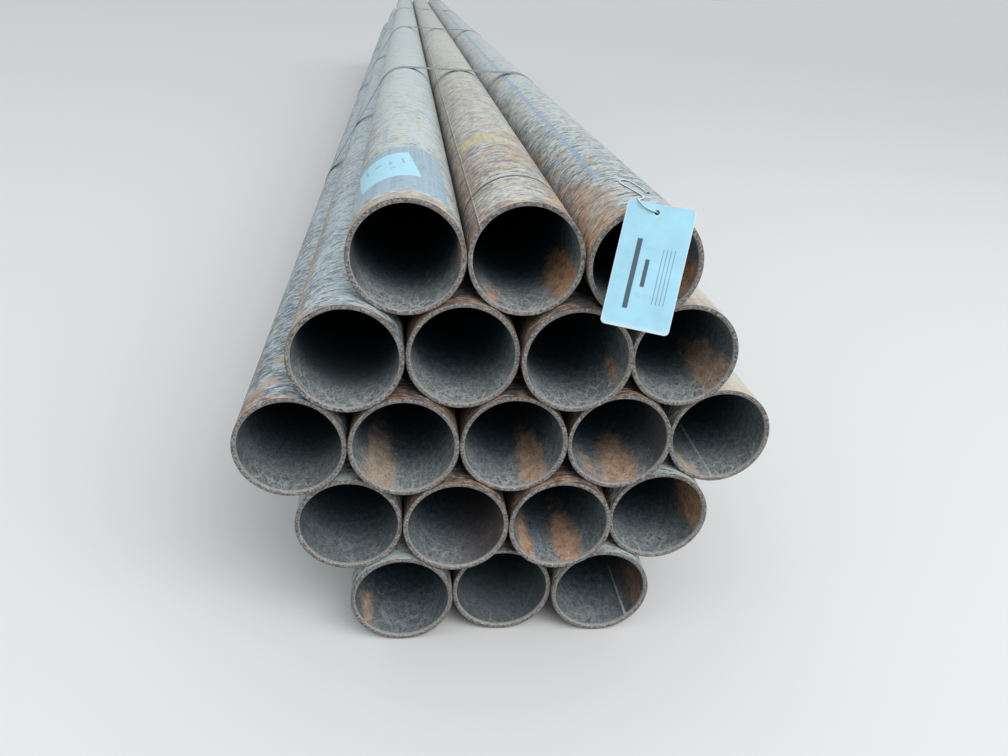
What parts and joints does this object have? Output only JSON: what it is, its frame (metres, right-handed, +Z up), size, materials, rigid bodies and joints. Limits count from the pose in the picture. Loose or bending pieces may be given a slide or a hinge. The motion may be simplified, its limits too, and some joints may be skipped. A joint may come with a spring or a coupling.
{
  "type": "bundle of iron pipes",
  "caption": "Hexagonal bundle of round welded steel pipes held by flat steel bands, with a blank label and a hanging tag, for storage, lifting and cutting.",
  "frame": {"origin": "midway along the bundle, on its centre line, at the underside of the bands", "axes": "+Z up, Y along the pipes with the tagged ends towards -Y, +X to the right as seen from those ends"},
  "size_m": [0.5764, 6.4877, 0.5223],
  "materials": {
    "pipe_steel": "mill scale, scuffed and rusty",
    "band_steel": "dull zinc grey",
    "label_paper": "matte, blank",
    "tag_plastic": "satin, blank",
    "tie_cord": "twisted cord"
  },
  "bodies": {
    "root": {"pipe_1_1": "pipe_steel", "pipe_1_2": "pipe_steel", "pipe_1_3": "pipe_steel", "pipe_2_1": "pipe_steel", "pipe_2_2": "pipe_steel", "pipe_2_3": "pipe_steel", "pipe_2_4": "pipe_steel", "pipe_3_1": "pipe_steel", "pipe_3_2": "pipe_steel", "pipe_3_3": "pipe_steel", "pipe_3_4": "pipe_steel", "pipe_3_5": "pipe_steel", "pipe_4_1": "pipe_steel", "pipe_4_2": "pipe_steel", "pipe_4_3": "pipe_steel", "pipe_4_4": "pipe_steel", "pipe_5_1": "pipe_steel", "pipe_5_2": "pipe_steel", "pipe_5_3": "pipe_steel", "band_1": "band_steel", "band_2": "band_steel", "band_3": "band_steel", "band_4": "band_steel", "band_seal_1": "band_steel", "band_seal_2": "band_steel", "band_seal_3": "band_steel", "band_seal_4": "band_steel", "label": "label_paper", "tag": "tag_plastic", "tag_tie": "tie_cord"}
  },
  "joints": []
}
